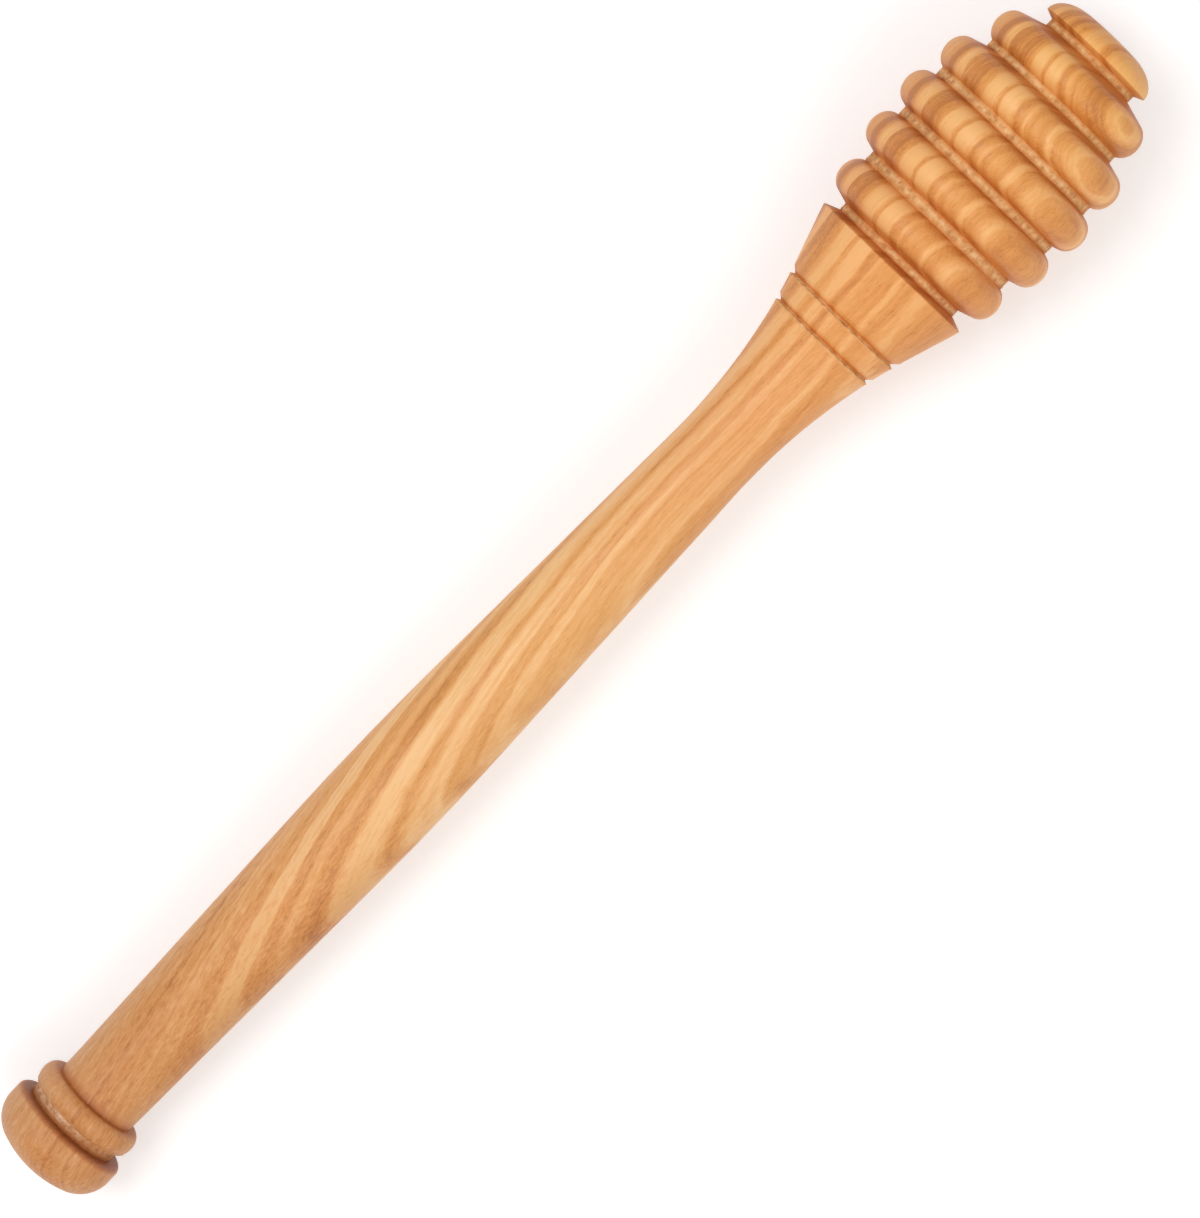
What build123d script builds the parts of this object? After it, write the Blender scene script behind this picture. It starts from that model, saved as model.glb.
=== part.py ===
from build123d import *
import os
from math import asin, atan, atan2, cos, degrees, radians, sin, sqrt, tan

os.makedirs("parts", exist_ok=True)

# Honey dipper, turned on a lathe from one billet of olive wood.
# Its half section is drawn with x along the lathe axis, from the knob's end, and y as the radius.
# It lies on its side along X, head towards +X, on its fullest rib and the rim of its knob.

# Knob, a domed button on the end of the handle
knob_diameter = 14.16
knob_crown_radius = 12.4
knob_rim_round = 3.7
knob_length = 6.3
knob_shoulder_length = 1.1
knob_shoulder_drop = 0.4

# Groove behind the knob, and the bead beside it, which stands proud of the handle
knob_groove_diameter = 11.2
knob_groove_width = 1.1
bead_diameter = 12.84
bead_width = 2.66

# Handle, from the bead to the collar's lip. It swells to a belly, thins to a waist and flares into
# the collar. Belly and waist are given where their straight tapers meet, before they are rounded.
handle_length = 121.64
root_diameter = 9.76
belly_diameter = 12.06
belly_setback = 74.4
belly_round = 372
waist_diameter = 8.66
waist_setback = 16.6
waist_round = 66

# Collar, the end of the flare, with a sharp lip and a leaning face behind it
lip_diameter = 19.6
lip_face_lean = 0.64

# Two V cuts round the flare, placed by their distance from the lip
cut_angle = 84
first_cut_setback = 10.4
first_cut_diameter = 12.1
second_cut_setback = 7.4
second_cut_diameter = 13.7
cut_overrun = 1

# Head, round ribs parted by narrow flat grooves, each turned to its own diameter
head_diameter = 25.12
first_rib_setback = 4.05
rib_pitch = 5.56
rib_round_width = 4.24
rib_round_height = 1.74
rib_flank_lean = 17
rib_place_shares = (0, 1.025, 2.018, 2.99, 3.972)
rib_diameter_shares = (0.88, 0.971, 1, 0.953, 0.796)
groove_diameter_shares = (0.643, 0.775, 0.837, 0.841, 0.7, 0.463)

# Cap, a domed button that closes the head
cap_setback = 4.24
cap_edge_lean = 0.45
cap_diameter = 13.86
cap_length = 2.44
tip_flat_diameter = 8.9

# Shoulder, bead and cap are parts of ellipses that end this far up from their level axis
round_end_angle = 20


def round_radii(length, height):
    """The radii of an elliptical round that is this long and high down to its end."""
    end = radians(round_end_angle)
    return length / cos(end), height / (1 - sin(end))


def flank_points(crest, side, floor_radius):
    """Where a rib's round top ends on one side, +1 or -1, and where that flank meets the floor."""
    centre_radius = crest[1] - rib_round_height
    lean = tan(radians(rib_flank_lean))
    above_centre = max(
        rib_round_height * sin(atan(lean * 2 * rib_round_height / rib_round_width)),
        floor_radius - centre_radius,
    )
    half_width = rib_round_width / 2 * sqrt(1 - (above_centre / rib_round_height) ** 2)
    round_end = (crest[0] + side * half_width, centre_radius + above_centre)
    foot = (round_end[0] + side * (round_end[1] - floor_radius) * lean, floor_radius)
    return round_end, foot


def round_angle(crest, round_end):
    """The angle at which a rib's elliptical top ends, up from its level axis."""
    return degrees(asin((round_end[1] - crest[1]) / rib_round_height + 1))


# Places along the axis, each from the one before
bead_start = knob_length + knob_groove_width
root_place = bead_start + bead_width
lip_place = root_place + handle_length
rib_places = [lip_place + first_rib_setback + share * rib_pitch for share in rib_place_shares]
cap_place = rib_places[-1] + cap_setback
dipper_length = cap_place + cap_length

groove_radii = [head_diameter * share / 2 for share in groove_diameter_shares]
rib_radii = [head_diameter * share / 2 for share in rib_diameter_shares]

# The lean of the axis, with the fullest rib and the knob's rim on the table
fullest_radius = max(rib_radii)
fullest_place = rib_places[rib_radii.index(fullest_radius)]
knob_radius = knob_diameter / 2
rim_place = knob_crown_radius - sqrt(
    (knob_crown_radius - knob_rim_round) ** 2 - (knob_radius - knob_rim_round) ** 2
)
axis_lean = atan2(fullest_radius - knob_radius, fullest_place - rim_place)
lathe_plane = Plane(
    origin=(
        -dipper_length / 2 * cos(axis_lean),
        0,
        fullest_radius * cos(axis_lean) - fullest_place * sin(axis_lean),
    ),
    x_dir=(cos(axis_lean), 0, sin(axis_lean)),
    z_dir=(0, -1, 0),
)
lathe_axis = Axis(lathe_plane.origin, lathe_plane.x_dir)

with BuildPart() as dipper:
    with BuildSketch(lathe_plane) as half_section:
        with BuildLine():
            # Knob, its groove and the bead
            crown = CenterArc(
                (knob_crown_radius, 0),
                knob_crown_radius,
                180,
                -degrees(asin(knob_radius / knob_crown_radius)),
            )
            rim = crown @ 1
            shoulder_start = knob_length - knob_shoulder_length
            shoulder_radii = round_radii(knob_shoulder_length, knob_shoulder_drop)
            Line(rim, (shoulder_start, knob_radius))
            EllipticalCenterArc(
                (shoulder_start, knob_radius - shoulder_radii[1]),
                *shoulder_radii,
                start_angle=round_end_angle,
                arc_size=90 - round_end_angle,
            )
            groove_radius = knob_groove_diameter / 2
            Polyline(
                (knob_length, knob_radius - knob_shoulder_drop),
                (knob_length, groove_radius),
                (bead_start, groove_radius),
            )
            bead_radii = round_radii(bead_width / 2, bead_diameter / 2 - groove_radius)
            EllipticalCenterArc(
                (bead_start + bead_width / 2, bead_diameter / 2 - bead_radii[1]),
                *bead_radii,
                start_angle=round_end_angle,
                arc_size=180 - 2 * round_end_angle,
            )
            root = (root_place, root_diameter / 2)
            Line((root_place, groove_radius), root)

            # Handle, flare and collar
            lip = (lip_place, lip_diameter / 2)
            FilletPolyline(
                root,
                (lip_place - belly_setback, belly_diameter / 2),
                (lip_place - waist_setback, waist_diameter / 2),
                lip,
                radius=[belly_round, waist_round],
            )
            floor_start = (lip_place + lip_face_lean, groove_radii[0])
            Line(lip, floor_start)

            # Ribs, each after the floor of the groove before it
            for rib, place in enumerate(rib_places):
                crest = (place, rib_radii[rib])
                round_start, foot = flank_points(crest, -1, groove_radii[rib])
                round_end, far_foot = flank_points(crest, 1, groove_radii[rib + 1])
                Polyline(*dict.fromkeys((floor_start, foot, round_start)))
                EllipticalCenterArc(
                    (place, crest[1] - rib_round_height),
                    rib_round_width / 2,
                    rib_round_height,
                    start_angle=round_angle(crest, round_end),
                    arc_size=180 - round_angle(crest, round_start) - round_angle(crest, round_end),
                )
                if far_foot != round_end:
                    Line(round_end, far_foot)
                floor_start = far_foot

            # Cap, and back along the axis
            cap_edge = (cap_place, cap_diameter / 2)
            Polyline(floor_start, (cap_place - cap_edge_lean, groove_radii[-1]), cap_edge)
            cap_radii = round_radii(cap_length, (cap_diameter - tip_flat_diameter) / 2)
            EllipticalCenterArc(
                (cap_place, cap_diameter / 2 - cap_radii[1]),
                *cap_radii,
                start_angle=round_end_angle,
                arc_size=90 - round_end_angle,
            )
            Polyline((dipper_length, tip_flat_diameter / 2), (dipper_length, 0), (0, 0))
        make_face()
        fillet(half_section.vertices().sort_by_distance(rim)[0], knob_rim_round)

        # V cuts round the flare, each by a pointed tool fed straight in
        for setback, diameter in (
            (first_cut_setback, first_cut_diameter),
            (second_cut_setback, second_cut_diameter),
        ):
            point = (lip_place - setback, diameter / 2)
            tool_rise = lip_diameter / 2 + cut_overrun - point[1]
            tool_half_width = tool_rise * tan(radians(cut_angle / 2))
            with BuildLine():
                Polyline(
                    point,
                    (point[0] + tool_half_width, point[1] + tool_rise),
                    (point[0] - tool_half_width, point[1] + tool_rise),
                    close=True,
                )
            make_face(mode=Mode.SUBTRACT)
    revolve(axis=lathe_axis)

dipper.part.label = "dipper"
export_step(dipper.part, "parts/dipper.step")
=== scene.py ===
from math import asin, atan, atan2, cos, degrees, pi, radians, sin, sqrt, tan

import bpy
from mathutils import Matrix, Vector, noise


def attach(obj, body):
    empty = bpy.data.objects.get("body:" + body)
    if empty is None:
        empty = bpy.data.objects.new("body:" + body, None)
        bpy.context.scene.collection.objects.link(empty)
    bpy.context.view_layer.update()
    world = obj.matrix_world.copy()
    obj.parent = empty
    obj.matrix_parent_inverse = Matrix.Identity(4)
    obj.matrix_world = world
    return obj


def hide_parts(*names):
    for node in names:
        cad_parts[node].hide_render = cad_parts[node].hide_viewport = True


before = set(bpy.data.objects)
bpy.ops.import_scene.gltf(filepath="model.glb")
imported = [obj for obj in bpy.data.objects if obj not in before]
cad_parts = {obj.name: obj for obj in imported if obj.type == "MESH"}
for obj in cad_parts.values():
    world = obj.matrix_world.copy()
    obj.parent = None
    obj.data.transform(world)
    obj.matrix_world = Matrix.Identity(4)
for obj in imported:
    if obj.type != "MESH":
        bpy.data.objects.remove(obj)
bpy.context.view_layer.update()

MM = 0.001

# Sizes of the turned piece in millimetres: radii, and places along the lathe axis from the knob's end

KNOB_RADIUS = 7.08
KNOB_CROWN_RADIUS = 12.4
KNOB_RIM_ROUND = 3.7
KNOB_LENGTH = 6.3
KNOB_SHOULDER_ROUND = 0.7
KNOB_GROOVE_RADIUS = 5.6
BEAD_START = 7.4
BEAD_RADIUS = 6.42
ROOT_PLACE = 10.06
ROOT_RADIUS = 4.88
ROOT_LENGTH = 1.2
ROOT_LIFT = 0.03

BELLY_PLACE = 57.3
BELLY_RADIUS = 6.03
BELLY_ROUND = 372
WAIST_PLACE = 115.1
WAIST_RADIUS = 4.33
WAIST_ROUND = 66
LIP_PLACE = 131.7
LIP_RADIUS = 9.8
LIP_FACE_LEAN = 0.64

V_CUT_ANGLE = 84
V_CUTS = ((121.3, 6.05), (124.3, 6.85))

HEAD_RADIUS = 12.56
FIRST_RIB_SETBACK = 4.05
RIB_PITCH = 5.56
RIB_HALF_WIDTH = 2.12
RIB_ROUND_HEIGHT = 1.74
RIB_FLANK_LEAN = 17
RIB_PLACE_SHARES = (0, 1.025, 2.018, 2.99, 3.972)
RIB_RADIUS_SHARES = (0.88, 0.971, 1, 0.953, 0.796)
GROOVE_RADIUS_SHARES = (0.643, 0.775, 0.837, 0.841, 0.7, 0.463)
RIB_PLACES = [LIP_PLACE + FIRST_RIB_SETBACK + share * RIB_PITCH for share in RIB_PLACE_SHARES]
RIB_RADII = [HEAD_RADIUS * share for share in RIB_RADIUS_SHARES]
GROOVE_RADII = [HEAD_RADIUS * share for share in GROOVE_RADIUS_SHARES]
FULLEST_RIB = RIB_RADII.index(max(RIB_RADII))

CAP_SETBACK = 4.24
CAP_PLACE = RIB_PLACES[-1] + CAP_SETBACK
CAP_EDGE_LEAN = 0.45
CAP_RADIUS = 6.93
CAP_LENGTH = 2.44
TIP_FLAT_RADIUS = 3.15
DIPPER_LENGTH = CAP_PLACE + CAP_LENGTH

# Where sanding eased a sharp corner: two points beside the corner, along the axis and out from it.
# The cap's dome starts after them, at an angle in degrees.
LIP_CORNER = ((-0.08, -0.03), (0.02, -0.1))
CAP_CORNER = ((-0.06, -0.12), (0.02, 0))
CAP_DOME_START = 88

# The skin starts and ends in small rings round the middle of the knob's end and of the tip. The
# knob's crown goes on from the first ring, at an angle in degrees.
KNOB_MIDDLE = (0.02, 0.12)
KNOB_CROWN_START = 179.4
TIP_MIDDLE_RADIUS = 0.15

# The dipper lies on its fullest rib and the rim of its knob
RIM_PLACE = KNOB_CROWN_RADIUS - sqrt(
    (KNOB_CROWN_RADIUS - KNOB_RIM_ROUND) ** 2 - (KNOB_RADIUS - KNOB_RIM_ROUND) ** 2
)
AXIS_LEAN = atan2(RIB_RADII[FULLEST_RIB] - KNOB_RADIUS, RIB_PLACES[FULLEST_RIB] - RIM_PLACE)
KNOB_END = Vector((
    -DIPPER_LENGTH / 2 * cos(AXIS_LEAN),
    0,
    RIB_RADII[FULLEST_RIB] * cos(AXIS_LEAN) - RIB_PLACES[FULLEST_RIB] * sin(AXIS_LEAN),
)) * MM
ALONG = Vector((cos(AXIS_LEAN), 0, sin(AXIS_LEAN)))
UP = Vector((-sin(AXIS_LEAN), 0, cos(AXIS_LEAN)))
ACROSS = Vector((0, -1, 0))

# How far apart the rings of the skin are, in millimetres
HANDLE_STEP = 1.5
FLARE_STEP = 0.8
COLLAR_STEP = 0.7
FLAT_STEP = 0.6
CROWN_STEP = 0.5
RIM_STEP = 0.4
FLANK_STEP = 0.3
WALL_STEP = 0.25
RIB_STEP = 0.24
BEAD_STEP = 0.2
SHOULDER_STEP = 0.14
FLOOR_STEP = 0.13
V_CUT_STEP = 0.12
KNOB_FLOOR_STEP = 0.11

# Depth in a recess, in millimetres: where oil soaked into the end grain and painted shade are full,
# where deeper painted shadow is added besides, and how deep a rib's groove is that darkens its
# flanks in full
SOAK_AND_SHADE_DEPTH = 1.5
DEEP_SHADE_DEPTH = 2.4
DEEP_GROOVE = 2.0

# Oil soak and painted shade where the recess alone doesn't tell it, as millimetres of depth; at the
# knob's shoulder and groove it is painted shadow for the most part. A rise is for each millimetre
# along the axis, and a start, place or reach lies along the axis too.
SHOULDER_OIL_AND_SHADE_START = 0.04
SHOULDER_OIL_AND_SHADE_RISE = 4.2
KNOB_FLOOR_OIL_AND_SHADE_LOSS = 1.2
BEAD_OIL_AND_SHADE = 0.08
BEAD_WALL_OIL_AND_SHADE = 0.5
ROOT_OIL_AND_SHADE_RISE = 1.3
V_CUT_FALL_OIL_AND_SHADE = 0.2
V_CUT_CLIMB_OIL_AND_SHADE = 1.45
V_CUT_CLIMB_OIL_AND_SHADE_PLACE = 0.15
V_CUT_CLIMB_OIL_AND_SHADE_REACH = 0.24
LIP_OIL_AND_SHADE = 0.2
COLLAR_FACE_OIL_AND_SHADE = 0.3
CAP_OIL_AND_SHADE_RISE = 0.42
TIP_OIL_AND_SHADE = 1.0

# Where the tool tore the fibres, and how much. The angle is on the bead's round, shares are of a
# stretch's length, and a rise is for the whole of it.
TORN_BEAD_ANGLE = 134
TORN_BEAD_RISE = 1.4
TORN_KNOB_FLOOR_SHARES = (0.3, 0.55)
TORN_FLOOR_RISE = 2.4
V_CUT_EDGE_WIDTH = 0.35
V_CUT_EDGE_SHARE = 0.9
V_CUT_EDGE_TEAR = 0.8


# The half section, drawn with a turner's strokes

def straight(start, end, step):
    """Points on a straight stretch, without its start."""
    count = max(1, round(sqrt((end[0] - start[0]) ** 2 + (end[1] - start[1]) ** 2) / step))
    return [
        (start[0] + (end[0] - start[0]) * i / count, start[1] + (end[1] - start[1]) * i / count)
        for i in range(1, count + 1)
    ]


def swept(centre, radii, first, last, step):
    """Points on an arc or a part of an ellipse between two angles in degrees, without its start."""
    count = max(2, round(abs(radians(last - first)) * max(radii) / step))
    angles = [radians(first + (last - first) * i / count) for i in range(1, count + 1)]
    return [(centre[0] + radii[0] * cos(a), centre[1] + radii[1] * sin(a)) for a in angles]


def eased(before, corner, after, bend, step):
    """Points round a corner that is eased by an arc of the radius bend."""
    back = Vector(before) - Vector(corner)
    on = Vector(after) - Vector(corner)
    half = back.angle(on) / 2
    reach = bend / tan(half)
    start = Vector(corner) + back.normalized() * reach
    end = Vector(corner) + on.normalized() * reach
    inward = (back.normalized() + on.normalized()).normalized()
    centre = Vector(corner) + inward * (bend / sin(half))
    first = degrees(atan2(start.y - centre.y, start.x - centre.x))
    last = degrees(atan2(end.y - centre.y, end.x - centre.x))
    turn = (last - first + 180) % 360 - 180
    return [tuple(start), *swept(centre, (bend, bend), first, first + turn, step)]


def v_cut(outline, place, radius):
    """The outline before a V cut, the cut down to its point, the cut up again, and the rest."""
    slope = 1 / tan(radians(V_CUT_ANGLE / 2))

    def above_tool(point):
        return point[1] - radius - abs(point[0] - place) * slope

    inside = [i for i, point in enumerate(outline) if above_tool(point) > 0]
    edges = []
    for dry, wet in ((inside[0] - 1, inside[0]), (inside[-1] + 1, inside[-1])):
        share = above_tool(outline[dry]) / (above_tool(outline[dry]) - above_tool(outline[wet]))
        edges.append(tuple(Vector(outline[dry]).lerp(Vector(outline[wet]), share)))
    return (
        [*outline[:inside[0]], edges[0]],
        straight(edges[0], (place, radius), V_CUT_STEP),
        straight((place, radius), edges[1], V_CUT_STEP),
        outline[inside[-1] + 1:],
    )


def below(crest, head_start=0.0, share=1.0):
    """Depth in a recess as the drop from its crest, by share, until oil soak and painted shade are
    full.
    """
    return lambda place, radius: min(SOAK_AND_SHADE_DEPTH, (crest - radius + head_start) * share)


def torn_mid_floor(share):
    """Torn along the middle of a groove's floor, and clean at the foot of its walls."""
    return min(1.0, TORN_FLOOR_RISE * share, TORN_FLOOR_RISE * (1 - share))


class HalfSection:
    """The half section in stretches: a finish and its points, each with its depth in a recess and
    how torn it is."""

    def __init__(self, start):
        self.stretches = []
        self.cut([start])

    def cut(self, points, finish="turned", deep=lambda place, radius: 0.0, tear=lambda share: 0.0):
        """One stroke, which goes on from the last point."""
        count = len(points)
        self.stretches.append((
            finish, [(*point, deep(*point), tear((i + 1) / count)) for i, point in enumerate(points)],
        ))
        self.here = points[-1]


def cut_knob(section):
    """The knob's crown, rim and side, and its shoulder, which darkens towards the groove with oil soak
    and painted shadow.
    """
    rim_angle = degrees(asin((KNOB_RADIUS - KNOB_RIM_ROUND) / (KNOB_CROWN_RADIUS - KNOB_RIM_ROUND)))
    crown = (KNOB_CROWN_RADIUS + KNOB_MIDDLE[0], 0)
    section.cut(
        swept(crown, (KNOB_CROWN_RADIUS,) * 2, KNOB_CROWN_START, 180 - rim_angle, CROWN_STEP)
    )
    rim = (RIM_PLACE, KNOB_RADIUS - KNOB_RIM_ROUND)
    section.cut(swept(rim, (KNOB_RIM_ROUND,) * 2, 180 - rim_angle, 90, RIM_STEP))
    shoulder = (KNOB_LENGTH - KNOB_SHOULDER_ROUND, KNOB_RADIUS - KNOB_SHOULDER_ROUND)
    section.cut(straight(section.here, (shoulder[0], KNOB_RADIUS), FLAT_STEP))
    oil_and_shade_start = shoulder[0] + SHOULDER_OIL_AND_SHADE_START
    section.cut(
        swept(shoulder, (KNOB_SHOULDER_ROUND,) * 2, 90, 0, SHOULDER_STEP),
        deep=lambda place, radius: min(DEEP_SHADE_DEPTH, SHOULDER_OIL_AND_SHADE_RISE * max(0.0, place - oil_and_shade_start)),
    )


def cut_knob_groove(section):
    """The groove behind the knob, darkened by painted shadow and oil soak, whose floor is torn towards
    the bead.
    """
    width = BEAD_START - KNOB_LENGTH
    clean, torn = TORN_KNOB_FLOOR_SHARES
    section.cut(
        straight(section.here, (KNOB_LENGTH, KNOB_GROOVE_RADIUS), WALL_STEP),
        deep=lambda place, radius: DEEP_SHADE_DEPTH,
    )
    section.cut(
        straight(section.here, (BEAD_START, KNOB_GROOVE_RADIUS), KNOB_FLOOR_STEP), "torn",
        lambda place, radius: DEEP_SHADE_DEPTH - KNOB_FLOOR_OIL_AND_SHADE_LOSS * (place - KNOB_LENGTH) / width,
        lambda share: min(1.0, max(0.0, (share - clean) / (torn - clean))),
    )


def cut_bead(section):
    """The bead, torn where it rises out of the groove, and its wall down to the handle."""
    half = (ROOT_PLACE - BEAD_START) / 2
    foot = (BEAD_START + half, KNOB_GROOVE_RADIUS)
    size = (half, BEAD_RADIUS - KNOB_GROOVE_RADIUS)
    section.cut(
        swept(foot, size, 180, TORN_BEAD_ANGLE, KNOB_FLOOR_STEP), "torn", below(BEAD_RADIUS),
        lambda share: min(1.0, TORN_BEAD_RISE * (1 - share)),
    )
    section.cut(swept(foot, size, TORN_BEAD_ANGLE, 0, BEAD_STEP), deep=below(BEAD_RADIUS, BEAD_OIL_AND_SHADE))
    section.cut(
        straight(section.here, (ROOT_PLACE, ROOT_RADIUS), WALL_STEP),
        deep=below(BEAD_RADIUS, BEAD_WALL_OIL_AND_SHADE),
    )


def cut_v_cut(section, outline, place, radius):
    """The outline as far as a V cut, and the cut: torn down its fall, and darkened at the foot of its
    climb by oil soak and painted shade. What it gives back is the rest of the outline."""
    flare, fall, climb, rest = v_cut(outline, place, radius)
    edge, before = Vector(flare[-1]), Vector(flare[-2])
    back = (before - edge).length
    share = min(V_CUT_EDGE_WIDTH, V_CUT_EDGE_SHARE * back) / back
    darkest = place + V_CUT_CLIMB_OIL_AND_SHADE_PLACE

    def climb_oil_and_shade(spot, height):
        return max(0.0, V_CUT_CLIMB_OIL_AND_SHADE * (1 - abs(spot - darkest) / V_CUT_CLIMB_OIL_AND_SHADE_REACH))

    section.cut([*flare[:-1], tuple(edge.lerp(before, share))])
    section.cut([tuple(edge)], "torn", tear=lambda share: V_CUT_EDGE_TEAR)
    section.cut(fall, "torn", lambda spot, height: V_CUT_FALL_OIL_AND_SHADE, lambda share: 1.0)
    section.cut(climb, deep=climb_oil_and_shade)
    return rest


def cut_handle(section):
    """The handle and its flare, with the V cuts, up to the collar's lip and down its face."""
    belly = (BELLY_PLACE, BELLY_RADIUS)
    waist = (WAIST_PLACE, WAIST_RADIUS)
    lip = (LIP_PLACE, LIP_RADIUS)
    before_lip, after_lip = [(lip[0] + along, lip[1] + out) for along, out in LIP_CORNER]
    belly_bend = eased(section.here, belly, waist, BELLY_ROUND, HANDLE_STEP)
    flare_bend = eased(belly, waist, lip, WAIST_ROUND, FLARE_STEP)
    root_end = ROOT_PLACE + ROOT_LENGTH
    section.cut(
        straight(section.here, (root_end, ROOT_RADIUS + ROOT_LIFT), FLANK_STEP),
        deep=lambda place, radius: ROOT_OIL_AND_SHADE_RISE * (root_end - place),
    )
    section.cut([*straight(section.here, belly_bend[0], HANDLE_STEP), *belly_bend[1:]])
    rest = [
        *straight(section.here, flare_bend[0], HANDLE_STEP), *flare_bend[1:],
        *straight(flare_bend[-1], before_lip, COLLAR_STEP),
    ]
    for place, radius in V_CUTS:
        rest = cut_v_cut(section, rest, place, radius)
    section.cut(rest)
    section.cut([after_lip], deep=lambda place, radius: LIP_OIL_AND_SHADE)
    section.cut(
        straight(section.here, (LIP_PLACE + LIP_FACE_LEAN, GROOVE_RADII[0]), WALL_STEP),
        deep=below(LIP_RADIUS, COLLAR_FACE_OIL_AND_SHADE),
    )


def rib_side(place, crest, side, floor):
    """Where a rib's round top ends on one side, -1 or 1, where that flank meets the floor, and the
    angle at which the round ends."""
    lean = tan(radians(RIB_FLANK_LEAN))
    lowest = RIB_ROUND_HEIGHT * sin(atan(lean * RIB_ROUND_HEIGHT / RIB_HALF_WIDTH))
    centre_radius = crest - RIB_ROUND_HEIGHT
    rise = max(lowest, floor - centre_radius)
    reach = RIB_HALF_WIDTH * sqrt(1 - (rise / RIB_ROUND_HEIGHT) ** 2)
    end = (place + side * reach, centre_radius + rise)
    foot = (end[0] + side * (end[1] - floor) * lean, floor)
    return end, foot, degrees(asin(rise / RIB_ROUND_HEIGHT))


def cut_rib(section, place, crest, floors):
    """The floor of the groove before a rib, and the rib down to the next floor."""
    centre = (place, crest - RIB_ROUND_HEIGHT)
    size = (RIB_HALF_WIDTH, RIB_ROUND_HEIGHT)
    start, foot, start_angle = rib_side(place, crest, -1, floors[0])
    end, next_foot, end_angle = rib_side(place, crest, 1, floors[1])
    # The flanks darken with their groove's depth: oil soak and painted shade
    before, after = [below(crest, share=min(1, (crest - floor) / DEEP_GROOVE)) for floor in floors]
    section.cut(straight(section.here, foot, FLOOR_STEP), "torn", before, torn_mid_floor)
    section.cut(straight(foot, start, FLANK_STEP), deep=before)
    section.cut(swept(centre, size, 180 - start_angle, 90, RIB_STEP), deep=before)
    section.cut(swept(centre, size, 90, end_angle, RIB_STEP), deep=after)
    section.cut(straight(end, next_foot, FLANK_STEP), deep=after)


def cut_cap(section):
    """The floor of the last groove, the cap, and in to the middle of its flat tip."""
    before_edge, after_edge = [(CAP_PLACE + along, CAP_RADIUS + out) for along, out in CAP_CORNER]
    foot = (CAP_PLACE - CAP_EDGE_LEAN, GROOVE_RADII[-1])
    section.cut(straight(section.here, foot, FLOOR_STEP), "torn", below(CAP_RADIUS), torn_mid_floor)
    section.cut(straight(section.here, before_edge, WALL_STEP), deep=below(CAP_RADIUS))
    section.cut([after_edge])
    dome = (CAP_LENGTH, CAP_RADIUS - TIP_FLAT_RADIUS)
    section.cut(
        swept((CAP_PLACE, TIP_FLAT_RADIUS), dome, CAP_DOME_START, 0, FLANK_STEP),
        deep=lambda place, radius: CAP_OIL_AND_SHADE_RISE * (place - CAP_PLACE),
    )
    section.cut(
        straight(section.here, (DIPPER_LENGTH, TIP_MIDDLE_RADIUS), FLAT_STEP),
        deep=lambda place, radius: TIP_OIL_AND_SHADE,
    )


def half_section():
    """The stretches of the half section, from the knob's end to the tip."""
    section = HalfSection(KNOB_MIDDLE)
    cut_knob(section)
    cut_knob_groove(section)
    cut_bead(section)
    cut_handle(section)
    for rib, (place, crest) in enumerate(zip(RIB_PLACES, RIB_RADII)):
        cut_rib(section, place, crest, GROOVE_RADII[rib:rib + 2])
    cut_cap(section)
    return section.stretches


# The turned mesh

AROUND = 220
FINISHES = ("turned", "torn")
SHARP_ANGLE = 34

# How strongly the skin strays from the true section, in millimetres, and how near the lip it is
# chipped. Inside the last radius it doesn't stray.
TORN_HEIGHT = 0.13
WAVER_HEIGHT = 0.018
CHIP_DEPTH = 0.22
CHIP_REACH = 0.15
STILL_RADIUS = 0.5

# Waves of the skin: how many to a millimetre, and their strength. Only their tops become chips.
TORN_WAVES = ((1.5, 0.65), (3.9, 0.35))
WAVER_WAVES = ((0.33, 1), (1.1, 0.4))
CHIP_WAVES = ((1.9, 1),)
CHIPS_FROM = 0.12


def hand_of_turner(place, radius, around, finish):
    """How far the wood lies off the true section there, in millimetres, out being positive."""
    at = Vector((place, radius * cos(around), radius * sin(around)))

    def waved(waves):
        return sum(strength * noise.noise(at * count) for count, strength in waves)

    if finish == "torn":
        return TORN_HEIGHT * waved(TORN_WAVES)
    inward = sum(strength for count, strength in WAVER_WAVES)
    at_lip = max(0.0, 1 - abs(place - LIP_PLACE) / CHIP_REACH)
    chips = max(0.0, waved(CHIP_WAVES) - CHIPS_FROM) * at_lip
    return -WAVER_HEIGHT * (inward + waved(WAVER_WAVES)) - CHIP_DEPTH * chips


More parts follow.
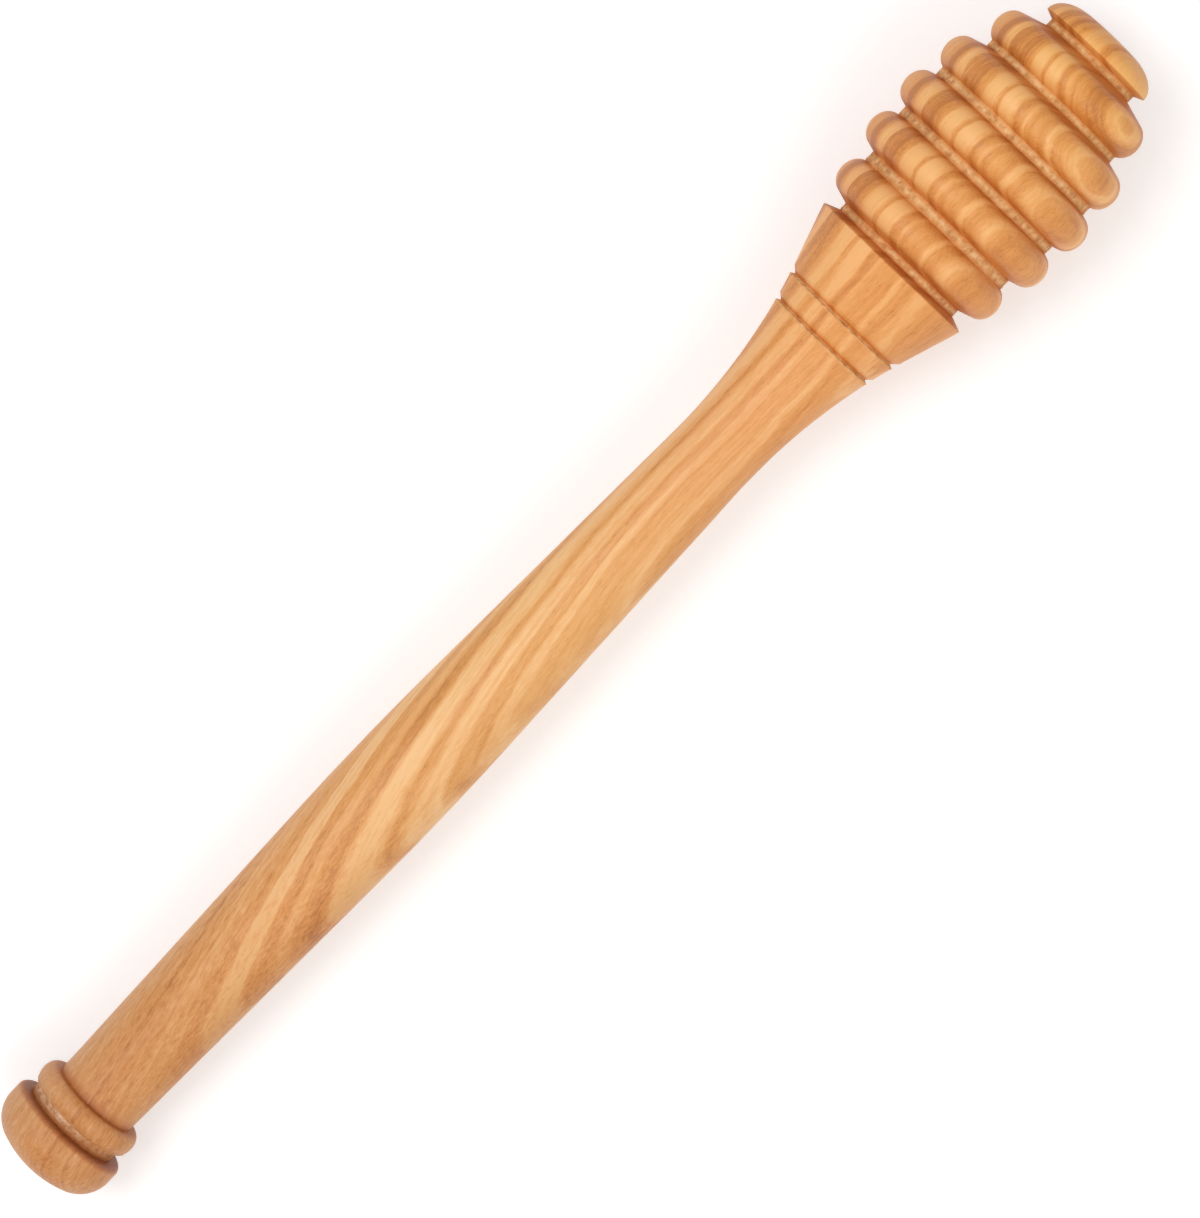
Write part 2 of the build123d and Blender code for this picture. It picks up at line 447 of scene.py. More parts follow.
def turned_mesh(name):
    """The dipper's skin: the half section carried round the lathe axis."""
    rings = [(*point, finish) for finish, points in half_section() for point in points]
    vertices, recess, torn = [], [], []
    for place, radius, deep, tear, finish in rings:
        for step in range(AROUND):
            around = 2 * pi * step / AROUND
            off = hand_of_turner(place, radius, around, finish) if radius > STILL_RADIUS else 0
            spoke = (radius + off) * (UP * cos(around) + ACROSS * sin(around))
            vertices.append(KNOB_END + (ALONG * place + spoke) * MM)
            recess.append(deep)
            torn.append(tear)
    faces, materials = [], []
    for ring in range(len(rings) - 1):
        low, high = ring * AROUND, (ring + 1) * AROUND
        for step in range(AROUND):
            after = (step + 1) % AROUND
            faces.append((low + step, low + after, high + after, high + step))
            materials.append(FINISHES.index(rings[ring + 1][-1]))
    for first, place, order in ((0, rings[0][0], 1), (len(vertices) - AROUND, DIPPER_LENGTH, -1)):
        middle = len(vertices)
        vertices.append(KNOB_END + ALONG * place * MM)
        recess.append(0)
        torn.append(0)
        for step in range(AROUND):
            rim = [first + step, first + (step + 1) % AROUND]
            faces.append((middle, *rim[::-order]))
            materials.append(FINISHES.index("turned"))
    mesh = bpy.data.meshes.new(name)
    mesh.from_pydata(vertices, [], faces)
    mesh.polygons.foreach_set("material_index", materials)
    mesh.polygons.foreach_set("use_smooth", [True] * len(faces))
    for attribute, values in (("recess", recess), ("torn", torn)):
        mesh.attributes.new(attribute, "FLOAT", "POINT").data.foreach_set("value", values)
    mesh.set_sharp_from_angle(angle=radians(SHARP_ANGLE))
    mesh.update()
    return mesh


# Nodes

def add(tree, kind, inputs=(), **settings):
    """A node with its settings and inputs: a value is set, and a socket is joined."""
    made = tree.nodes.new(kind)
    for name, value in settings.items():
        setattr(made, name, value)
    for name, value in dict(inputs).items():
        if isinstance(value, bpy.types.NodeSocket):
            tree.links.new(value, made.inputs[name])
        else:
            made.inputs[name].default_value = value
    return made


def maths(tree, operation, *values):
    """The result of a sum on values and sockets."""
    return add(tree, "ShaderNodeMath", dict(enumerate(values)), operation=operation).outputs[0]


def times(tree, first, *others):
    """The product of values and sockets."""
    for other in others:
        first = maths(tree, "MULTIPLY", first, other)
    return first


def between(tree, value, ends, results=(0, 1)):
    """A smooth step from one result to the other as the value goes from end to end."""
    return add(
        tree, "ShaderNodeMapRange",
        {
            "Value": value, "From Min": ends[0], "From Max": ends[1],
            "To Min": results[0], "To Max": results[1],
        },
        interpolation_type="SMOOTHSTEP",
    ).outputs[0]


def patch(tree, value, edges):
    """1 between two edges, each a smooth step from its outer to its inner end, and 0 outside them."""
    return times(tree, *[between(tree, value, edge) for edge in edges])


def swing(tree, pattern, strength):
    """How far a noise is off its middle, times a strength."""
    return times(tree, maths(tree, "SUBTRACT", pattern, 0.5), strength)


def blended(tree, share, under, over):
    """A value over another, by share."""
    return add(tree, "ShaderNodeMix", {0: share, 2: under, 3: over}, data_type="FLOAT").outputs[0]


def mixed(tree, share, under, over, blend="MIX"):
    """A colour over another, by share."""
    node = add(tree, "ShaderNodeMix", data_type="RGBA", blend_type=blend)
    for socket, value in ((node.inputs[0], share), (node.inputs[6], under), (node.inputs[7], over)):
        if isinstance(value, bpy.types.NodeSocket):
            tree.links.new(value, socket)
        else:
            socket.default_value = value
    return node.outputs[2]


def tinted(tree, share, colour, tint):
    """A colour multiplied by a tint, by share."""
    return mixed(tree, share, colour, tint, "MULTIPLY")


def colour_ramp(tree, value, stops):
    """A run of colours, each at its place from 0 to 1."""
    node = add(tree, "ShaderNodeValToRGB", {"Fac": value})
    elements = node.color_ramp.elements
    while len(elements) < len(stops):
        elements.new(1)
    for element, (share, colour) in zip(elements, stops):
        element.position = share
        element.color = (*colour, 1)
    return node.outputs[0]


def drawn_curve(tree, value, points):
    """A smooth curve through points, read at value."""
    places, heights = [p[0] for p in points], [p[1] for p in points]
    low, high = min(heights), max(heights)
    share = add(
        tree, "ShaderNodeMapRange", {"Value": value, "From Min": places[0], "From Max": places[-1]}
    ).outputs[0]
    node = add(tree, "ShaderNodeFloatCurve", {"Value": share})
    curve = node.mapping.curves[0]
    spots = [
        ((place - places[0]) / (places[-1] - places[0]), (height - low) / (high - low))
        for place, height in points
    ]
    curve.points[0].location, curve.points[-1].location = spots[0], spots[-1]
    for spot in spots[1:-1]:
        curve.points.new(*spot)
    node.mapping.update()
    return add(
        tree, "ShaderNodeMapRange", {"Value": node.outputs[0], "To Min": low, "To Max": high}
    ).outputs[0]


def group(name, inputs, outputs):
    """An empty shader group with named inputs and outputs."""
    tree = bpy.data.node_groups.new(name, "ShaderNodeTree")
    for socket, kind in inputs:
        tree.interface.new_socket(socket, in_out="INPUT", socket_type=kind)
    for socket, kind in outputs:
        tree.interface.new_socket(socket, in_out="OUTPUT", socket_type=kind)
    return tree, tree.nodes.new("NodeGroupInput"), tree.nodes.new("NodeGroupOutput")


# How the billet's growth layers lie, by places along the lathe axis in millimetres. They face up
# and to the near side, at an angle in degrees from up. They bow, so that they run out of the handle
# towards the knob and out of the head towards the tip. Near the tip they crowd together.
LAYER_FACING = (
    (0, 67), (50, 59.5), (75, 59.5), (100, 63.5), (118, 65.3), (131, 57.9), (145, 51.6), (165, 49.5),
)
LAYER_BOW = (
    (0, -14.68), (20, -11.68), (40, -7.27), (60, -2.91), (80, 0.59), (95, 2.38), (110, 2.64),
    (122, 1.92), (131, 0), (136, -1.19), (142, -2.26), (152, -3.86), (158, -4.83), (165, -6.56),
)
LAYER_CROWDING = ((0, 1), (147, 1), (153, 1.12), (158, 1.35), (165, 2.64))

# The layers also sway a little, as a tree's do: by so many millimetres, in slow waves
SWAY = 0.5
SWAY_WAVES = (0.14, 0.5, 0.5)

# The layers from the outside in: their depth in millimetres, and how pale the wood is there, from
# 0, late wood, to 1, early wood
GROWTH_LAYERS = (
    (-8.0, 0.55), (-7.5, 0.48), (-7.1, 0.42), (-6.6, 0.50), (-6.35, 0.45), (-6.0, 0.93),
    (-4.9, 0.93), (-4.5, 0.36), (-3.8, 0.32), (-3.45, 0.62), (-3.1, 0.66), (-2.7, 0.50),
    (-2.35, 0.32), (-1.75, 0.22), (-1.5, 0.34), (-1.25, 0.62), (-1.0, 0.88), (-0.7, 0.98),
    (-0.2, 1.0), (0.35, 0.88), (0.75, 0.50), (1.0, 0.34), (1.25, 0.38), (1.55, 0.72), (1.85, 0.90),
    (2.5, 0.92), (2.75, 0.65),
    (3.0, 0.45), (3.3, 0.36), (3.6, 0.36), (3.9, 0.80), (4.35, 0.82), (4.7, 0.52), (5.3, 0.50),
    (5.6, 0.66), (5.9, 0.55), (6.1, 0.50), (6.45, 0.80), (6.75, 0.80), (7.05, 0.42), (7.6, 0.52),
    (8.0, 0.62), (8.35, 0.92), (8.65, 0.82), (8.95, 0.38), (9.5, 0.42), (9.9, 0.80), (10.5, 0.55),
)

# The same layers in the head, and in its cap, as they changed along the trunk
HEAD_LAYERS = (
    (-9.0, 0.50), (-8.2, 0.42), (-7.75, 0.10), (-7.2, 0.0), (-6.9, 0.18), (-6.5, 0.40),
    (-6.2, 0.52), (-5.9, 0.80), (-5.0, 0.84), (-4.7, 0.50), (-4.35, 0.26), (-3.9, 0.30),
    (-3.4, 0.27), (-2.95, 0.22), (-2.7, 0.27), (-2.4, 0.38), (-1.9, 0.42), (-1.6, 0.62),
    (-1.3, 0.88), (-0.2, 0.98), (0.1, 0.93), (0.35, 0.68), (0.6, 0.48), (0.85, 0.72), (1.15, 0.95),
    (2.1, 0.98), (2.4, 0.90), (2.7, 0.62), (3.05, 0.42), (3.4, 0.42), (3.65, 0.58), (3.85, 0.68),
    (4.1, 0.58), (4.4, 0.50), (4.7, 0.52), (5.2, 0.54), (5.6, 0.42), (5.9, 0.48), (6.2, 0.70),
    (6.45, 0.84), (6.75, 0.60), (6.95, 0.44), (7.3, 0.42), (7.6, 0.50), (8.0, 0.68), (8.35, 0.85),
    (8.65, 0.68), (9.0, 0.48), (9.4, 0.40), (9.9, 0.46), (10.5, 0.52),
)
CAP_LAYERS = (
    (-13.0, 0.30), (-11.3, 0.35), (-10.6, 0.60), (-10.1, 0.78), (-9.3, 0.78), (-8.8, 0.68),
    (-8.3, 0.30), (-7.7, 0.20), (-6.4, 0.28), (-6.0, 0.42), (-5.7, 0.62), (-5.3, 0.50),
    (-5.0, 0.42), (-4.6, 0.18), (-3.9, 0.18), (-3.5, 0.38), (-2.9, 0.52), (-2.2, 0.44),
    (-1.7, 0.60), (-1.1, 0.88), (-0.4, 0.98), (0.6, 0.88), (1.6, 0.94), (1.95, 0.78), (2.3, 0.48),
    (2.7, 0.34), (3.1, 0.40), (3.4, 0.72), (3.8, 0.80), (4.5, 0.82), (5.5, 0.96), (6.5, 0.94),
    (7.6, 0.88), (8.0, 0.76), (9.0, 0.60), (10.5, 0.60),
)

# The outermost layers, which come out near the knob only
OUTER_LAYERS = (
    (-18.0, 0.62), (-16.0, 0.66), (-14.8, 0.72), (-14.0, 0.66), (-13.2, 0.66), (-12.7, 0.60),
    (-12.2, 0.46), (-11.7, 0.52), (-11.3, 0.46), (-11.05, 0.24), (-10.8, 0.32), (-10.5, 0.46),
    (-10.1, 0.42), (-9.6, 0.52), (-9.25, 0.58), (-8.95, 0.48), (-8.65, 0.64), (-8.35, 0.58),
    (-8.0, 0.55),
)

# Where, along the axis, the layers of the handle give way to the head's, and these to the cap's
HEAD_STARTS = (118, 132)
CAP_STARTS = (160, 161.5)

# Towards the tip the outermost layers lean away faster than the others, up to so many millimetres
OUTERMOST = (-4.5, -5.6)
LEANING_AWAY = (140, 165)
LEAN_AWAY = 1.95

# On the last rib a darker layer comes out on the near side
DARKER_LAYER = ((5.7, 6.2), (8.0, 7.4))
DARKER_STRETCH = ((154.5, 156.5), (160.8, 160))
DARKER_TONE = 0.28

# How strongly the layers stand out from the middle tone, along the lathe axis
MIDDLE_TONE = 0.66
LAYER_CONTRAST = (
    (0, 0.90), (20, 0.82), (45, 0.95), (62, 0.95), (80, 0.74), (100, 0.78), (118, 0.95),
    (128, 1.20), (140, 1.36), (158, 1.30), (162, 1.15), (165, 1.10),
)

# Patterns drawn out along the fibres: waves to a millimetre by depth in the layers, across them and
# along, how many finer waves are added, and how strong these are
RAGGED_EDGES = ((1.5, 1.2, 0.09), 4, 0.65)
LINES = ((2.4, 0.2, 0.018), 5, 0.65)
STREAKS = ((1.5, 1.3, 0.07), 4, 0.6)
FLECKS = ((3.4, 3.4, 0.65), 4, 0.75)
FIBRES = ((7, 7, 0.5), 2, 0.5)
PORES = ((9, 9, 0.9), 1, 0.5)
RAGGED_DEPTH = 0.7

# Flecks, which are short, show most near the knob, and pores open mostly in the late wood
FLECKED_PLACES = (30, 65)
FLECK_STRENGTHS = (2.5, 1.0)
PORE_RIM = (0.60, 0.76)
LATE_WOOD = (1.0, 0.4)

# The wood's colours from late wood to early wood, and their tint from the knob's end to the tip,
# which goes from brown through straw to gold
WOOD_TONES = (
    (0.0, (0.54, 0.205, 0.046)), (0.35, (0.74, 0.335, 0.091)), (0.7, (0.835, 0.43, 0.152)),
    (1.0, (0.91, 0.54, 0.235)),
)
LENGTH_TINTS = (
    (0.0, (0.70, 0.595, 0.56)), (0.12, (0.755, 0.645, 0.55)), (0.24, (0.88, 0.79, 0.71)),
    (0.36, (0.97, 0.95, 0.95)), (0.50, (1.0, 1.0, 1.0)), (0.64, (0.98, 0.89, 0.85)),
    (0.75, (0.97, 0.82, 0.68)), (0.83, (0.99, 0.85, 0.68)), (0.93, (1.0, 0.89, 0.71)),
    (1.0, (1.0, 0.87, 0.57)),
)

# Near the knob the far side is pinker, and further on the near side is duller: each tint has its
# distance to the far side and its stretch of the handle
PINKER_TINT = (1.02, 1.08, 1.26, 1)
PINKER_SIDE = (0.5, 4.2)
PINKER_ENDS = (64, 38)
DULLER_TINT = (0.90, 0.84, 0.76, 1)
DULLER_SIDE = (-1.5, -5)
DULLER_STRETCH = ((16, 24), (56, 42))


def billet_group():
    """Where a point lies in the billet: its depth in the growth layers, across them and along, and
    how far it is to the far side."""
    tree, given, out = group(
        "olive billet",
        [("Place", "NodeSocketVector"), ("Sway", "NodeSocketFloat")],
        [("Fibre place", "NodeSocketVector"), ("Far side", "NodeSocketFloat")],
    )
    lathe = add(
        tree, "ShaderNodeMapping",
        {
            "Vector": given.outputs["Place"], "Location": KNOB_END,
            "Rotation": (0, -AXIS_LEAN, 0), "Scale": (MM, MM, MM),
        },
        vector_type="TEXTURE",
    ).outputs[0]
    along, far, up = add(tree, "ShaderNodeSeparateXYZ", {"Vector": lathe}).outputs
    near = maths(tree, "MULTIPLY", far, -1)
    facing = maths(tree, "RADIANS", drawn_curve(tree, along, LAYER_FACING))
    lift, lean = maths(tree, "COSINE", facing), maths(tree, "SINE", facing)
    depth = maths(tree, "ADD", times(tree, up, lift), times(tree, near, lean))
    across = maths(tree, "SUBTRACT", times(tree, near, lift), times(tree, up, lean))
    crowded = times(tree, depth, drawn_curve(tree, along, LAYER_CROWDING))
    growth = maths(tree, "ADD", crowded, drawn_curve(tree, along, LAYER_BOW))

    swaying = add(
        tree, "ShaderNodeVectorMath", {0: lathe, 1: SWAY_WAVES}, operation="MULTIPLY"
    ).outputs[0]
    sway = add(tree, "ShaderNodeTexNoise", {"Vector": swaying, "Scale": 1, "Detail": 3}).outputs[0]
    swayed = maths(tree, "ADD", growth, swing(tree, sway, given.outputs["Sway"]))
    place = add(tree, "ShaderNodeCombineXYZ", {0: swayed, 1: across, 2: along})
    tree.links.new(place.outputs[0], out.inputs["Fibre place"])
    tree.links.new(far, out.inputs["Far side"])
    return tree


def layer_tone(tree, growth, along):
    """How pale the wood is by its depth in the growth layers and its place along the axis."""
    inner = drawn_curve(tree, growth, GROWTH_LAYERS)
    outer = drawn_curve(tree, growth, OUTER_LAYERS)
    handle = maths(tree, "SUBTRACT", maths(tree, "ADD", inner, outer), OUTER_LAYERS[-1][1])
    leaning = between(tree, along, LEANING_AWAY, (0, LEAN_AWAY))
    away = times(tree, leaning, between(tree, growth, OUTERMOST))
    head = drawn_curve(tree, maths(tree, "ADD", growth, away), HEAD_LAYERS)
    layers = blended(tree, between(tree, along, HEAD_STARTS), handle, head)
    cap = drawn_curve(tree, growth, CAP_LAYERS)
    layers = blended(tree, between(tree, along, CAP_STARTS), layers, cap)
    darker = times(tree, patch(tree, growth, DARKER_LAYER), patch(tree, along, DARKER_STRETCH))
    return blended(tree, darker, layers, DARKER_TONE)


def grain_group():
    """The wood's colour and its fibres: growth layers, finer lines in them, streaks and pores."""
    tree, given, out = group(
        "olive grain",
        [
            ("Fibre place", "NodeSocketVector"), ("Layer strength", "NodeSocketFloat"),
            ("Line strength", "NodeSocketFloat"), ("Streak strength", "NodeSocketFloat"),
            ("Fleck strength", "NodeSocketFloat"), ("Pore strength", "NodeSocketFloat"),
            ("Far side", "NodeSocketFloat"),
        ],
        [("Color", "NodeSocketColor"), ("Fibres", "NodeSocketFloat")],
    )
    place = given.outputs["Fibre place"]
    growth, across, along = add(tree, "ShaderNodeSeparateXYZ", {0: place}).outputs

    def fibre_noise(pattern):
        waves, detail, roughness = pattern
        stretched = add(
            tree, "ShaderNodeVectorMath", {0: place, 1: waves}, operation="MULTIPLY"
        ).outputs[0]
        return add(
            tree, "ShaderNodeTexNoise",
            {"Vector": stretched, "Scale": 1, "Detail": detail, "Roughness": roughness},
        ).outputs[0]

    # The layers' edges are ragged where fibres cross them
    ragged = maths(tree, "ADD", growth, swing(tree, fibre_noise(RAGGED_EDGES), RAGGED_DEPTH))
    layers = layer_tone(tree, ragged, along)
    contrast = drawn_curve(tree, along, LAYER_CONTRAST)
    contrast = times(tree, given.outputs["Layer strength"], contrast)
    tone = maths(
        tree, "MULTIPLY_ADD", maths(tree, "SUBTRACT", layers, MIDDLE_TONE), contrast, MIDDLE_TONE
    )

    # Lines, streaks and flecks lighten and darken the tone, and pores darken it
    flecked = between(tree, along, FLECKED_PLACES, FLECK_STRENGTHS)
    for pattern, strength in (
        (LINES, given.outputs["Line strength"]),
        (STREAKS, given.outputs["Streak strength"]),
        (FLECKS, times(tree, flecked, given.outputs["Fleck strength"])),
    ):
        tone = maths(tree, "ADD", tone, swing(tree, fibre_noise(pattern), strength))
    pores = between(tree, fibre_noise(PORES), PORE_RIM)
    late = between(tree, layers, LATE_WOOD)
    pored = times(tree, pores, times(tree, late, given.outputs["Pore strength"]))
    tone = maths(tree, "SUBTRACT", tone, pored)
    colour = colour_ramp(tree, tone, WOOD_TONES)

    far = given.outputs["Far side"]
    pinker = times(tree, between(tree, far, PINKER_SIDE), between(tree, along, PINKER_ENDS))
    colour = tinted(tree, pinker, colour, PINKER_TINT)
    duller = times(tree, between(tree, far, DULLER_SIDE), patch(tree, along, DULLER_STRETCH))
    colour = tinted(tree, duller, colour, DULLER_TINT)
    share = maths(tree, "DIVIDE", along, DIPPER_LENGTH)
    colour = tinted(tree, 1, colour, colour_ramp(tree, share, LENGTH_TINTS))
    tree.links.new(colour, out.inputs["Color"])
    tree.links.new(fibre_noise(FIBRES), out.inputs["Fibres"])
    return tree


# What oil soaked into the end grain and painted shade do to the wood: depths in a recess, and the
# tint at the second one. The first tint is oil soak and painted shade, the second painted shadow.
OIL_AND_SHADE_TINTS = (
    ((0.03, SOAK_AND_SHADE_DEPTH), (0.73, 0.51, 0.32, 1)),
    ((SOAK_AND_SHADE_DEPTH, DEEP_SHADE_DEPTH), (0.70, 0.62, 0.57, 1)),
)


def oil_and_shade_group():
    """Recesses and their end grain drink more oil, which darkens and warms the wood, and painted shade
    darkens them as well; deepest in, painted shadow darkens them further.
    """
    tree, given, out = group(
        "oil in end grain and painted shade",
        [("Color", "NodeSocketColor"), ("Recess", "NodeSocketFloat"), ("Strength", "NodeSocketFloat")],
        [("Color", "NodeSocketColor")],
    )
    colour = given.outputs["Color"]
    # The recess tints: oil soak with painted shade, then painted shadow deeper in
    for depths, tint in OIL_AND_SHADE_TINTS:
        soaked_and_shaded = add(
            tree, "ShaderNodeMapRange",
            {"Value": given.outputs["Recess"], "From Min": depths[0], "From Max": depths[1]},
        ).outputs[0]
        colour = tinted(tree, times(tree, soaked_and_shaded, given.outputs["Strength"]), colour, tint)
    tree.links.new(colour, out.inputs["Color"])
    return tree


# Materials

# How rough the turned wood is at least, and how much more where the fibres stand up
SATIN = 0.36
FIBRES_ROUGHER = 0.25

# Broken fibres, from the pits between them, dark in their own colour and in painted shade, to their
# pale ends
FLUFF_TONES = ((0.34, (0.50, 0.24, 0.09)), (0.50, (0.77, 0.435, 0.17)), (0.64, (0.89, 0.60, 0.30)))
FLUFF_SHARE = 0.85
NUBS_TO_A_METRE = 1300

# By the knob the fibres are dusty, darker down in the groove with painted shadow from the knob's
# shoulder, and brown on the near side
BY_KNOB = (12, 10)
DUSTY_TINT = (1.0, 1.02, 1.40, 1)
IN_GROOVE = (BEAD_START, BEAD_START - 0.4)
GROOVE_SHADOW_TINT = (0.70, 0.66, 0.62, 1)
NEAR_SIDE = (1.5, -3.0)
NEAR_SIDE_TINT = (0.82, 0.64, 0.44, 1)


def wood_material(name, grain, soaking_and_shade):
    """A finish of the same wood: the grain strengths and the strength of the oil soak and painted
    shade go into the groups. With it come its shader, and the sockets that say where a point is and
    what the wood is like there."""
    material = bpy.data.materials.new(name)
    material.use_nodes = True
    tree = material.node_tree
    place = add(tree, "ShaderNodeTexCoord").outputs["Object"]
    where = add(tree, "ShaderNodeGroup", node_tree=billet)
    tree.links.new(place, where.inputs["Place"])
    where.inputs["Sway"].default_value = SWAY
    wood = add(tree, "ShaderNodeGroup", node_tree=olive_grain)
    for socket in ("Fibre place", "Far side"):
        tree.links.new(where.outputs[socket], wood.inputs[socket])
    for socket, strength in grain.items():
        wood.inputs[socket].default_value = strength
    # The recess darkens the wood's colour: oil soaked into the end grain, and painted shade
    oiled_and_shaded = add(tree, "ShaderNodeGroup", node_tree=oil_and_shade_tree)
    recess = add(tree, "ShaderNodeAttribute", attribute_name="recess")
    tree.links.new(wood.outputs["Color"], oiled_and_shaded.inputs["Color"])
    tree.links.new(recess.outputs["Fac"], oiled_and_shaded.inputs["Recess"])
    oiled_and_shaded.inputs["Strength"].default_value = soaking_and_shade
    sockets = {
        "Place": place, "Fibre place": where.outputs["Fibre place"],
        "Far side": where.outputs["Far side"], "Fibres": wood.outputs["Fibres"],
        "Color": oiled_and_shaded.outputs["Color"],
    }
    return material, tree.nodes["Principled BSDF"], sockets


def turned_wood():
    """Scraped, sanded and oiled: satin, with the fibres just felt."""
    material, shader, wood = wood_material(
        "olive wood, turned and oiled",
        {
            "Layer strength": 1.0, "Line strength": 0.95, "Streak strength": 0.45,
            "Fleck strength": 0.75, "Pore strength": 0.3,
        },
        soaking_and_shade=1.0,
    )
    tree = material.node_tree
    tree.links.new(wood["Color"], shader.inputs["Base Color"])
    rough = maths(tree, "MULTIPLY_ADD", wood["Fibres"], FIBRES_ROUGHER, SATIN)
    tree.links.new(rough, shader.inputs["Roughness"])
    bump = add(
        tree, "ShaderNodeBump", {"Height": wood["Fibres"], "Strength": 0.15, "Distance": 0.1 * MM}
    )
    tree.links.new(bump.outputs[0], shader.inputs["Normal"])
    return material


def torn_wood():
    """Groove floors left by the parting tool: pale broken fibres with dark pits between them, which
    hold painted shade.
    """
    material, shader, wood = wood_material(
        "olive wood, torn fibres",
        {
            "Layer strength": 0.7, "Line strength": 0.5, "Streak strength": 0.4,
            "Fleck strength": 0.5, "Pore strength": 0.5,
        },
        soaking_and_shade=0.8,
    )
    tree = material.node_tree
    nubs = add(
        tree, "ShaderNodeTexNoise",
        {"Vector": wood["Place"], "Scale": NUBS_TO_A_METRE, "Detail": 3, "Roughness": 0.6},
    ).outputs[0]
    # The low pits of the nubs' bump are painted darker: partly painted shade
    fluff = colour_ramp(tree, nubs, FLUFF_TONES)
    along = add(tree, "ShaderNodeSeparateXYZ", {0: wood["Fibre place"]}).outputs[2]
    by_knob = between(tree, along, BY_KNOB)
    fluff = tinted(tree, by_knob, fluff, DUSTY_TINT)
    # Painted shadow of the knob's shoulder on the groove's floor
    groove_shadow = times(tree, by_knob, between(tree, along, IN_GROOVE))
    fluff = tinted(tree, groove_shadow, fluff, GROOVE_SHADOW_TINT)
    nearer = times(tree, by_knob, between(tree, wood["Far side"], NEAR_SIDE))
    fluff = tinted(tree, nearer, fluff, NEAR_SIDE_TINT)
    torn = add(tree, "ShaderNodeAttribute", attribute_name="torn").outputs["Fac"]
    fuzz = mixed(tree, times(tree, torn, FLUFF_SHARE), wood["Color"], fluff)
    tree.links.new(fuzz, shader.inputs["Base Color"])
    shader.inputs["Roughness"].default_value = 0.85
    bump = add(tree, "ShaderNodeBump", {"Height": nubs, "Strength": 0.5, "Distance": 0.2 * MM})
    tree.links.new(bump.outputs[0], shader.inputs["Normal"])
    return material


billet = billet_group()
olive_grain = grain_group()
# Tints for oil soak and painted shade in the recesses
oil_and_shade_tree = oil_and_shade_group()
dipper = bpy.data.objects.new("turned_dipper", turned_mesh("turned_dipper"))
bpy.context.scene.collection.objects.link(dipper)
dipper.data.materials.append(turned_wood())
dipper.data.materials.append(torn_wood())
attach(dipper, "root")
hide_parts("dipper")


# Floor, light and camera

WHITE = (1, 1, 1, 1)
FLOOR_PALE = (0.86, 0.86, 0.86, 1)

# How far the floor reaches each way, in metres
FLOOR_REACH = 3.0

# Far from the lamps the floor is lifted more, so that it stays as pale as the room: the distances
# in metres between which the lift grows, and the lift at each
FLOOR_LIFT_PLACES = (0.35, 1.6)
FLOOR_LIFTS = (0.3, 0.62)

# The camera stands over the head, from the knob's end in millimetres. It is tilted by an angle in
# radians, and the picture is turned by an angle in degrees, so that the dipper lies aslant in it.
CAMERA_ALONG = 134.43
CAMERA_HEIGHT = 551.3
CAMERA_NEARER = 2.66
CAMERA_TILT = -0.0897
PICTURE_TURN = 46.2297
FOCAL_LENGTH = 156.1


def seen_share(tree):
    """1 where the camera sees a surface, directly or in a gloss or through glass, and 0 for light."""
    path = add(tree, "ShaderNodeLightPath").outputs
    mirrored = maths(tree, "MAXIMUM", path["Is Glossy Ray"], path["Is Transmission Ray"])
    return maths(tree, "MAXIMUM", path["Is Camera Ray"], mirrored)


def floor_material():
    """Matt and pale, and lifted for the camera alone, so that it keeps the dipper's shadow."""
    material = bpy.data.materials.new("pale floor")
    material.use_nodes = True
    tree = material.node_tree
    shader = tree.nodes["Principled BSDF"]
    shader.inputs["Base Color"].default_value = FLOOR_PALE
    shader.inputs["Roughness"].default_value = 0.9
    shader.inputs["Emission Color"].default_value = WHITE
    place = add(tree, "ShaderNodeTexCoord").outputs["Object"]
    away = add(tree, "ShaderNodeVectorMath", {0: place}, operation="LENGTH").outputs["Value"]
    lift = between(tree, away, FLOOR_LIFT_PLACES, FLOOR_LIFTS)
    tree.links.new(times(tree, seen_share(tree), lift), shader.inputs["Emission Strength"])
    return material


def floor_mesh(reach):
    """A level square that reaches so far each way."""
    corners = [(-reach, -reach, 0), (reach, -reach, 0), (reach, reach, 0), (-reach, reach, 0)]
    mesh = bpy.data.meshes.new("floor")
    mesh.from_pydata(corners, [], [(0, 1, 2, 3)])
    return mesh


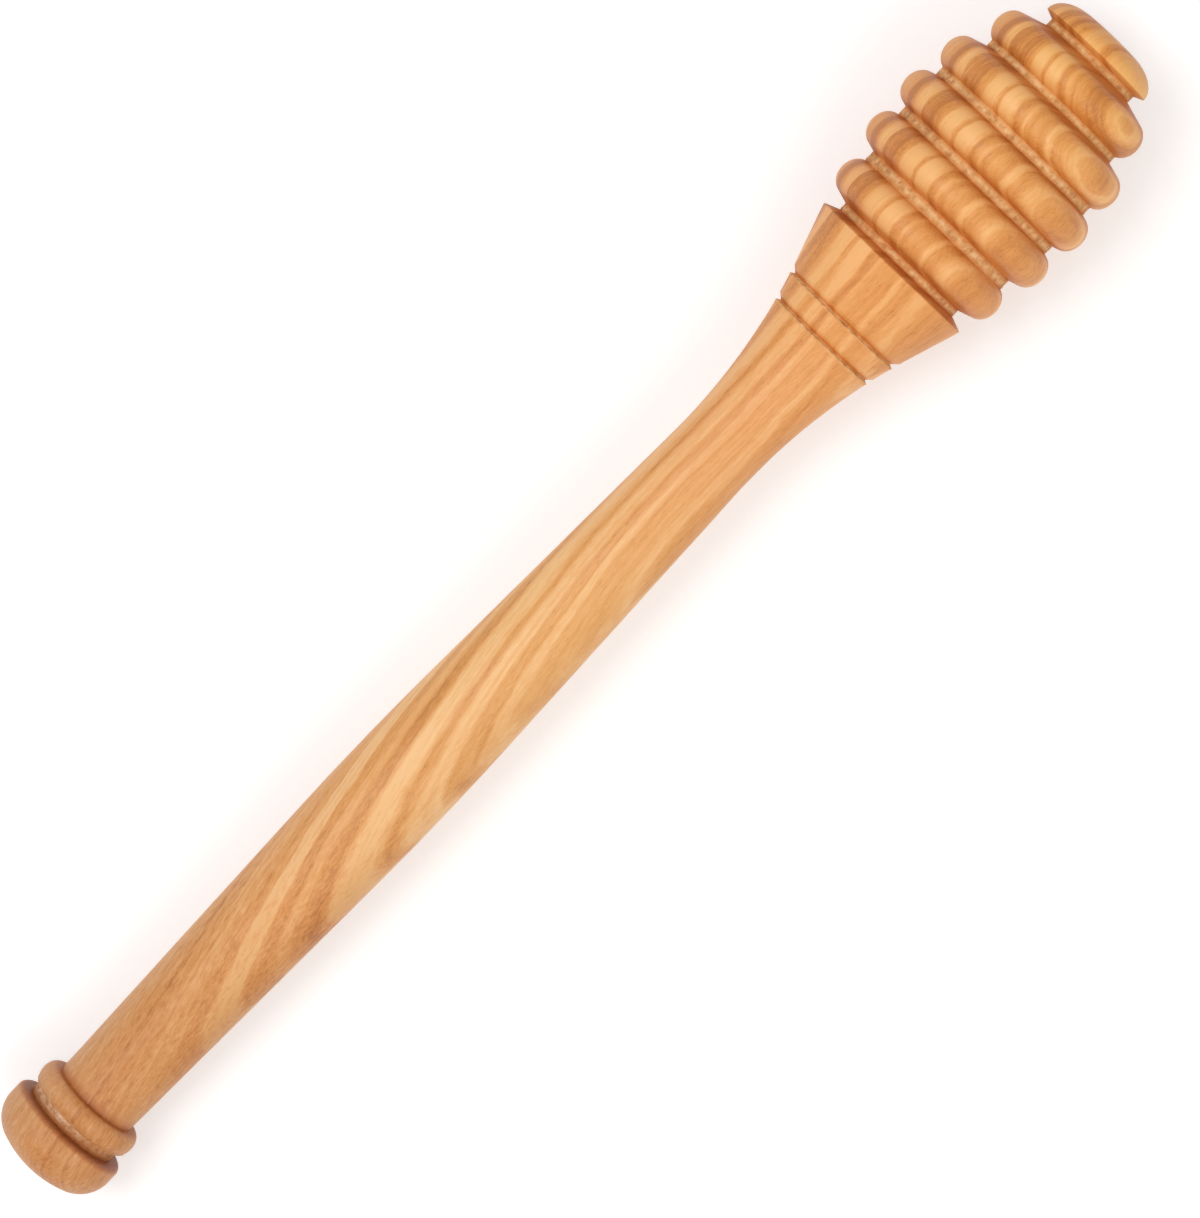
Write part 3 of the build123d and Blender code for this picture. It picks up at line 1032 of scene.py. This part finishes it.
def softbox(name, place, target, size, power, colour):
    """A round soft lamp at a place, turned to a target."""
    light = bpy.data.lights.new(name, "AREA")
    light.shape = "DISK"
    light.size = size
    light.energy = power
    light.color = colour
    lamp = bpy.data.objects.new(name, light)
    lamp.location = place
    lamp.rotation_euler = (Vector(target) - Vector(place)).to_track_quat("-Z", "Y").to_euler()
    bpy.context.scene.collection.objects.link(lamp)


def studio_world(light, backdrop):
    """A pale room: it lights at one strength, and is seen and mirrored at another."""
    world = bpy.data.worlds.new("studio")
    world.use_nodes = True
    tree = world.node_tree
    background = tree.nodes["Background"]
    background.inputs["Color"].default_value = WHITE
    strength = maths(tree, "MULTIPLY_ADD", seen_share(tree), backdrop - light, light)
    tree.links.new(strength, background.inputs["Strength"])
    return world


floor = bpy.data.objects.new("floor", floor_mesh(FLOOR_REACH))
bpy.context.scene.collection.objects.link(floor)
floor.data.materials.append(floor_material())

softbox(
    "key softbox", place=(-0.14, 0.32, 0.85), target=(0.02, 0, 0), size=0.5, power=2.75,
    colour=(0.99, 1, 1.03),
)
softbox(
    "fill softbox", place=(-0.22, -0.48, 0.70), target=(0.02, 0, 0), size=0.6, power=1.85,
    colour=(1.02, 1, 0.96),
)
bpy.context.scene.world = studio_world(light=0.55, backdrop=1.0)

camera_data = bpy.data.cameras.new("camera")
camera = bpy.data.objects.new("camera", camera_data)
bpy.context.scene.collection.objects.link(camera)
bpy.context.scene.camera = camera
camera.location = KNOB_END + (
    ALONG * CAMERA_ALONG + UP * CAMERA_HEIGHT + ACROSS * CAMERA_NEARER
) * MM
forward = ALONG * sin(CAMERA_TILT) - UP * cos(CAMERA_TILT)
level = ALONG * cos(CAMERA_TILT) + UP * sin(CAMERA_TILT)
turn = radians(PICTURE_TURN)
right = level * cos(turn) + ACROSS * sin(turn)
upward = level * sin(turn) - ACROSS * cos(turn)
camera.rotation_euler = Matrix((right, upward, -forward)).transposed().to_euler()
camera_data.lens = FOCAL_LENGTH
camera_data.clip_start = 0.01
camera_data.clip_end = 20

bpy.context.scene.view_settings.view_transform = "Standard"
